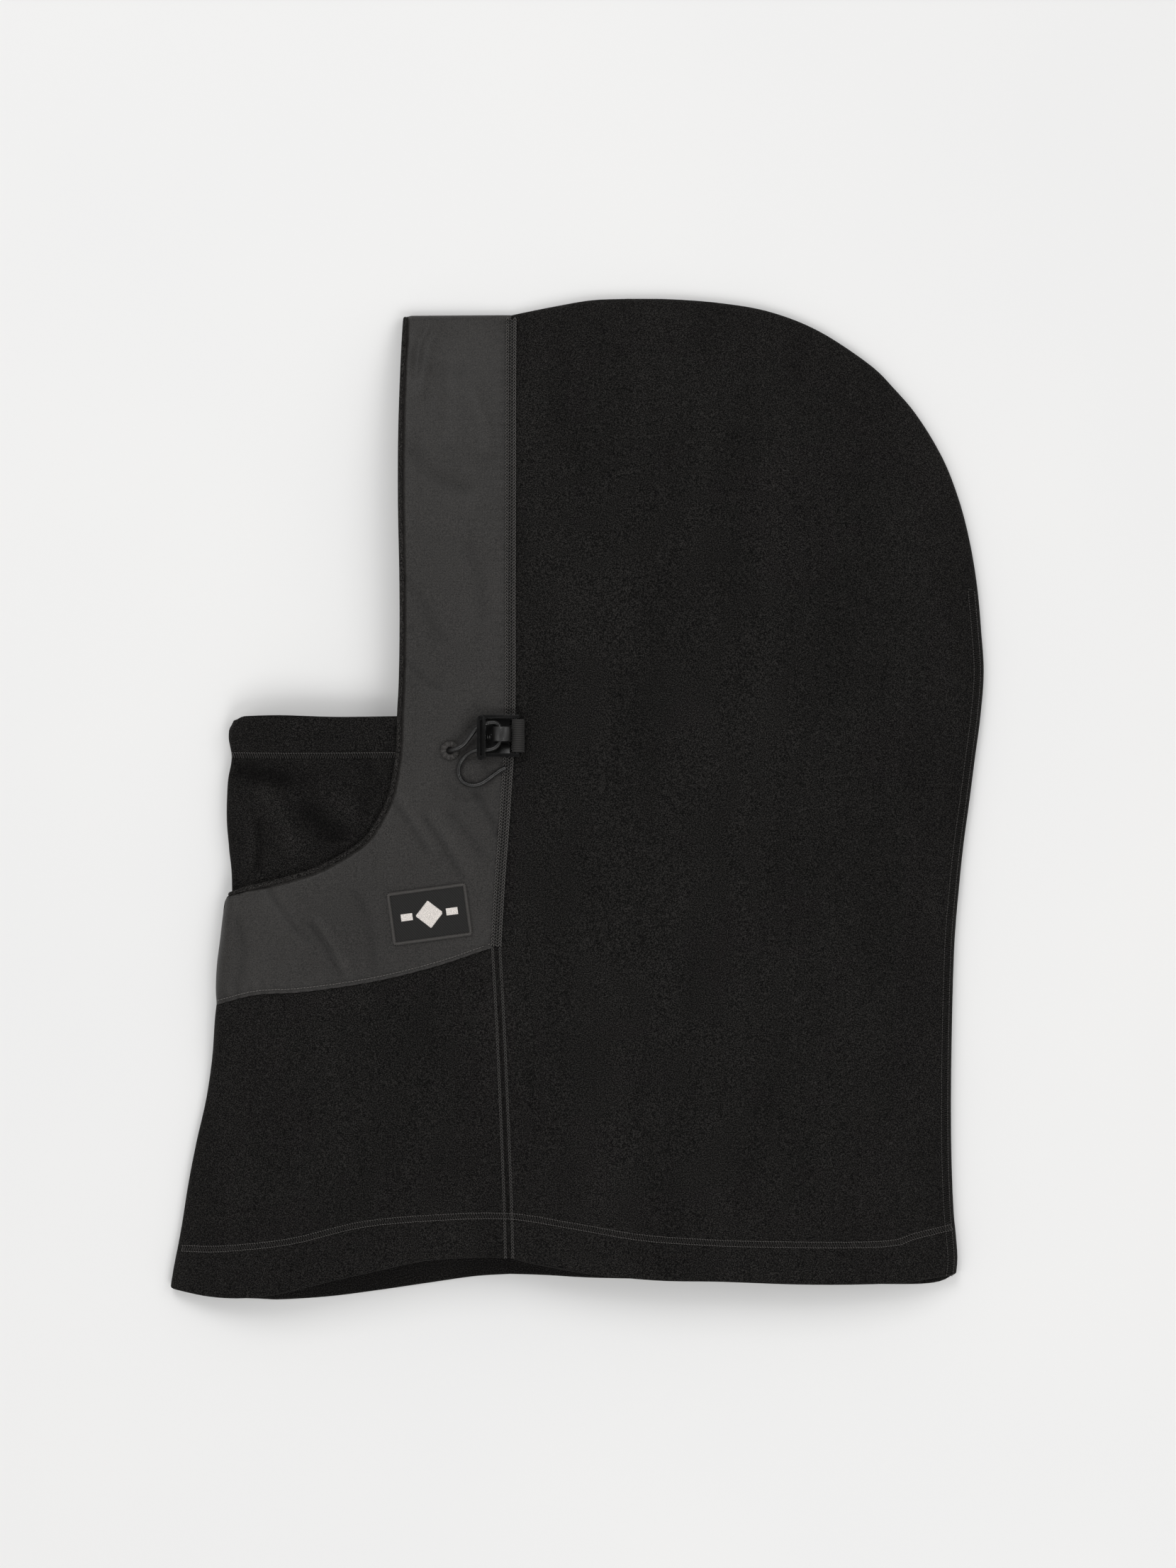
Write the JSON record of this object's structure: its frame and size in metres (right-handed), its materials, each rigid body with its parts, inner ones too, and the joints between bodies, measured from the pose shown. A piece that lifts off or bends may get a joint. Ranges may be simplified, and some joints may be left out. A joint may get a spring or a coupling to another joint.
{
  "type": "balaclava",
  "caption": "Full-head balaclava laid flat on its side: fleece hood and neck, woven face band, fleece lower-face mask, elastic cord adjusters with spring cord locks.",
  "frame": {"origin": "centre of the bounding box, on the surface that the garment lies on", "axes": "+Z away from the table, through the wearer's left side; +Y to the crown; +X to the back of the head"},
  "size_m": [0.3578, 0.4406, 0.0288],
  "materials": {
    "fleece": "matte stretch fleece, near black",
    "woven": "smooth charcoal nylon, slight sheen",
    "plastic": "black moulded plastic",
    "barrel": "matte dark grey",
    "spring": "spring steel",
    "webbing": "ribbed grey tape",
    "thread": "black thread",
    "cord": "braided sleeve over elastic",
    "label": "black twill",
    "border": "grey merrowed thread"
  },
  "bodies": {
    "garment": {"hood_panel_left": "fleece", "neck_panel_left": "fleece", "face_band_left": "woven", "band_facing_left": "fleece", "mask_panel_left": "fleece", "cord_lock_housing_left": "plastic", "cord_lock_spring_left": "spring", "webbing_tab_left": "webbing", "eyelet_left": "thread", "elastic_cord_left": "cord", "adjuster_cord_left": "cord", "hood_panel_right": "fleece", "neck_panel_right": "fleece", "face_band_right": "woven", "band_facing_right": "fleece", "mask_panel_right": "fleece", "cord_lock_housing_right": "plastic", "cord_lock_spring_right": "spring", "webbing_tab_right": "webbing", "eyelet_right": "thread", "elastic_cord_right": "cord", "adjuster_cord_right": "cord", "label_patch": "label", "label_border": "border"},
    "cord_lock_button_left": {"cord_lock_button_left": "barrel"},
    "cord_lock_button_right": {"cord_lock_button_right": "barrel"}
  },
  "joints": [
    {"name": "cord_lock_button_left_slide", "type": "slide", "parent": "garment", "child": "cord_lock_button_left", "axis": [-1, 0, 0], "range_m": [0, 0.0018], "stiffness_N_per_m": 400, "springref_m": -0.002, "deforming": ["cord_lock_spring_left"]},
    {"name": "cord_lock_button_right_slide", "type": "slide", "parent": "garment", "child": "cord_lock_button_right", "axis": [-1, 0, 0], "range_m": [0, 0.0018], "stiffness_N_per_m": 400, "springref_m": -0.002, "deforming": ["cord_lock_spring_right"]}
  ]
}
